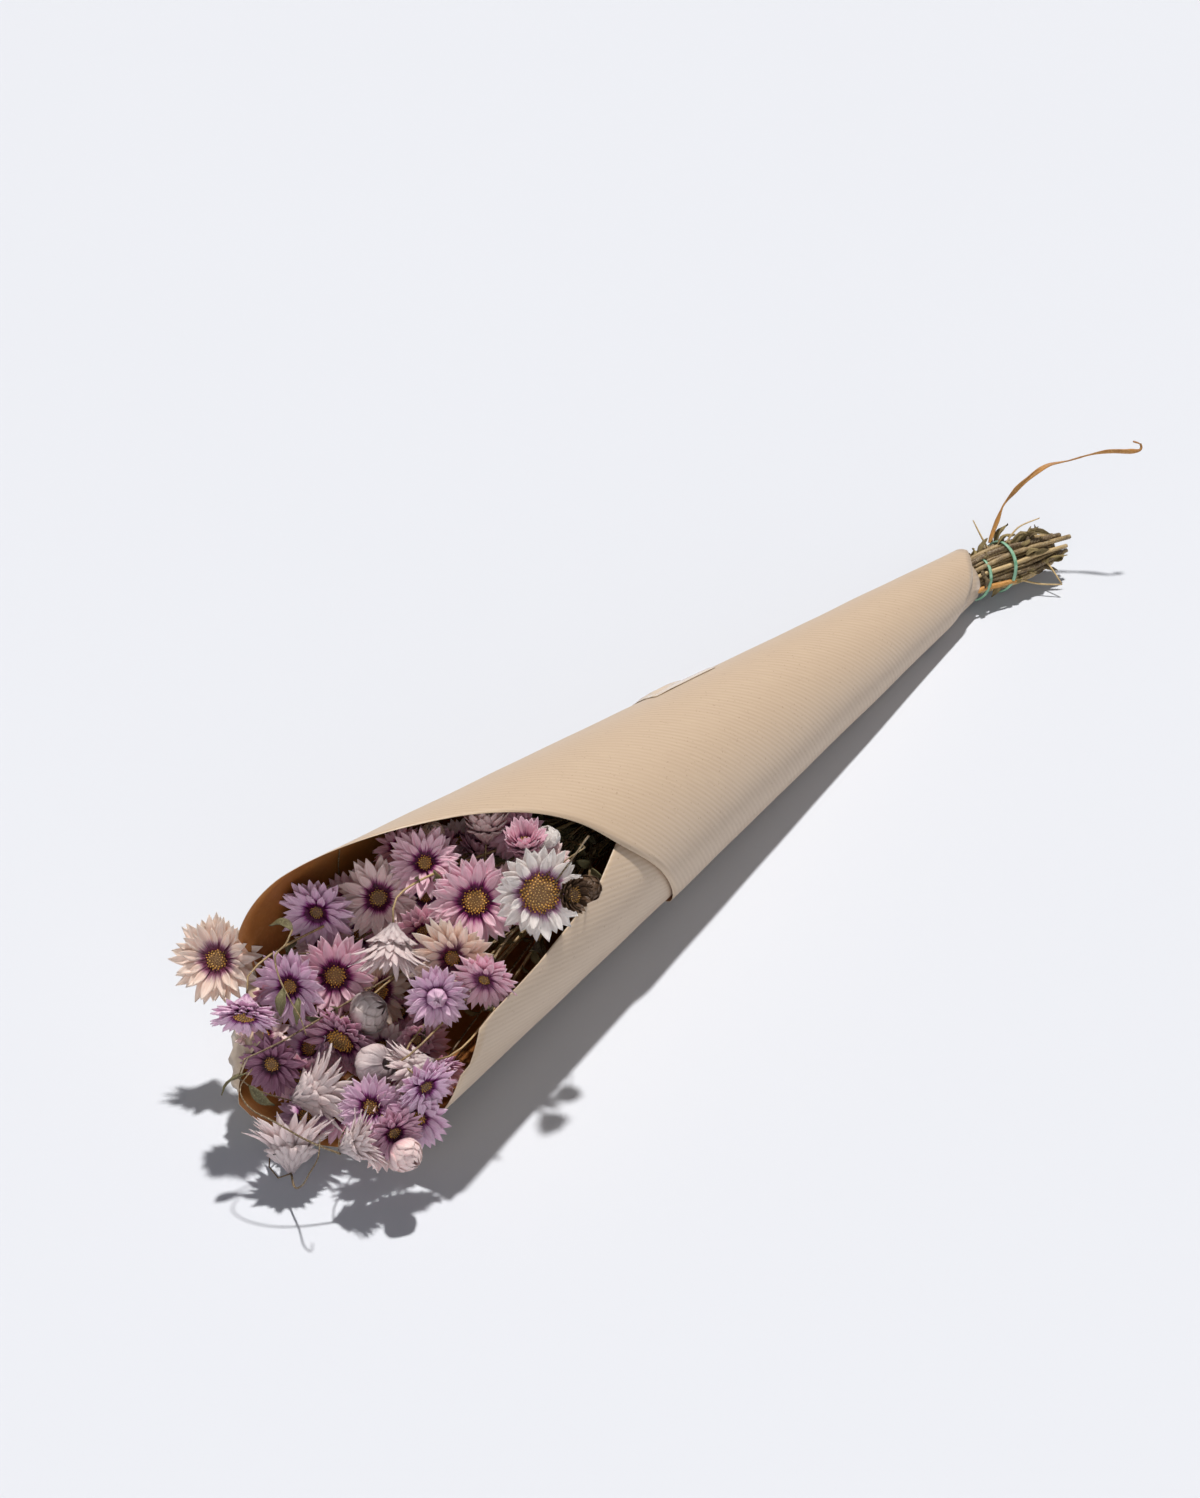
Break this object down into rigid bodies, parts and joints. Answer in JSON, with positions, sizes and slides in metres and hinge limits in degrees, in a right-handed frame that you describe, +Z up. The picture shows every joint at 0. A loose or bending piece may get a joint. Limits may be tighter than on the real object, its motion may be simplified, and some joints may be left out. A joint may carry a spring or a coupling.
{
  "type": "dried rhodanthe bunch in a paper cone",
  "caption": "Bunch of dried everlasting daisies with pink papery bracts, rolled in a cone of ribbed kraft paper and lying on its side, with bare banded stems behind",
  "frame": {"origin": "On the floor, on the flat strip under the rolled paper, 350 mm from the cone's apex", "axes": "+X towards the flowers, +Z up, +Y to the side where the roll's inner edge stands up as a lip; metres"},
  "size_m": [0.5976, 0.1352, 0.1012],
  "materials": {
    "kraft_paper": "ribbed, matt",
    "clear_tape": "clear film",
    "dry_stem": "dry, fibrous",
    "dry_leaf": "dry, papery",
    "green_rubber": "matt",
    "florets": "dusty, granular",
    "pink_bracts": "dry, silky",
    "silver_bracts": "dry, silvery, translucent"
  },
  "bodies": {
    "root": {"closing_tape": "clear_tape", "disc_open_01": "florets", "disc_open_02": "florets", "disc_open_03": "florets", "disc_open_04": "florets", "disc_open_05": "florets", "disc_open_06": "florets", "disc_open_07": "florets", "disc_open_08": "florets", "disc_open_09": "florets", "disc_open_12": "florets", "disc_open_14": "florets", "disc_open_22": "florets", "disc_open_26": "florets", "head_back_11": "silver_bracts", "head_back_16": "silver_bracts", "head_back_18": "silver_bracts", "head_back_19": "silver_bracts", "head_back_44": "silver_bracts", "head_bud_13": "silver_bracts", "head_bud_17": "silver_bracts", "head_bud_21": "silver_bracts", "head_bud_28": "silver_bracts", "head_bud_31": "silver_bracts", "head_cup_10": "pink_bracts", "head_cup_15": "pink_bracts", "head_cup_20": "pink_bracts", "head_cup_25": "pink_bracts", "head_cup_29": "pink_bracts", "head_cup_30": "pink_bracts", "head_cup_32": "pink_bracts", "head_cup_33": "pink_bracts", "head_cup_39": "pink_bracts", "head_open_01": "pink_bracts", "head_open_02": "pink_bracts", "head_open_03": "pink_bracts", "head_open_04": "pink_bracts", "head_open_05": "pink_bracts", "head_open_06": "pink_bracts", "head_open_07": "pink_bracts", "head_open_08": "pink_bracts", "head_open_09": "pink_bracts", "head_open_12": "pink_bracts", "head_open_14": "pink_bracts", "head_open_22": "pink_bracts", "head_open_23": "pink_bracts", "head_open_24": "pink_bracts", "head_open_26": "pink_bracts", "head_open_27": "pink_bracts", "head_open_35": "pink_bracts", "head_open_36": "pink_bracts", "head_open_38": "pink_bracts", "head_seed_40": "silver_bracts", "paper_wrap": "kraft_paper", "rubber_band_1": "green_rubber", "rubber_band_2": "green_rubber", "stem_bunch": "dry_stem", "strap_leaf": "dry_leaf"}
  },
  "joints": []
}
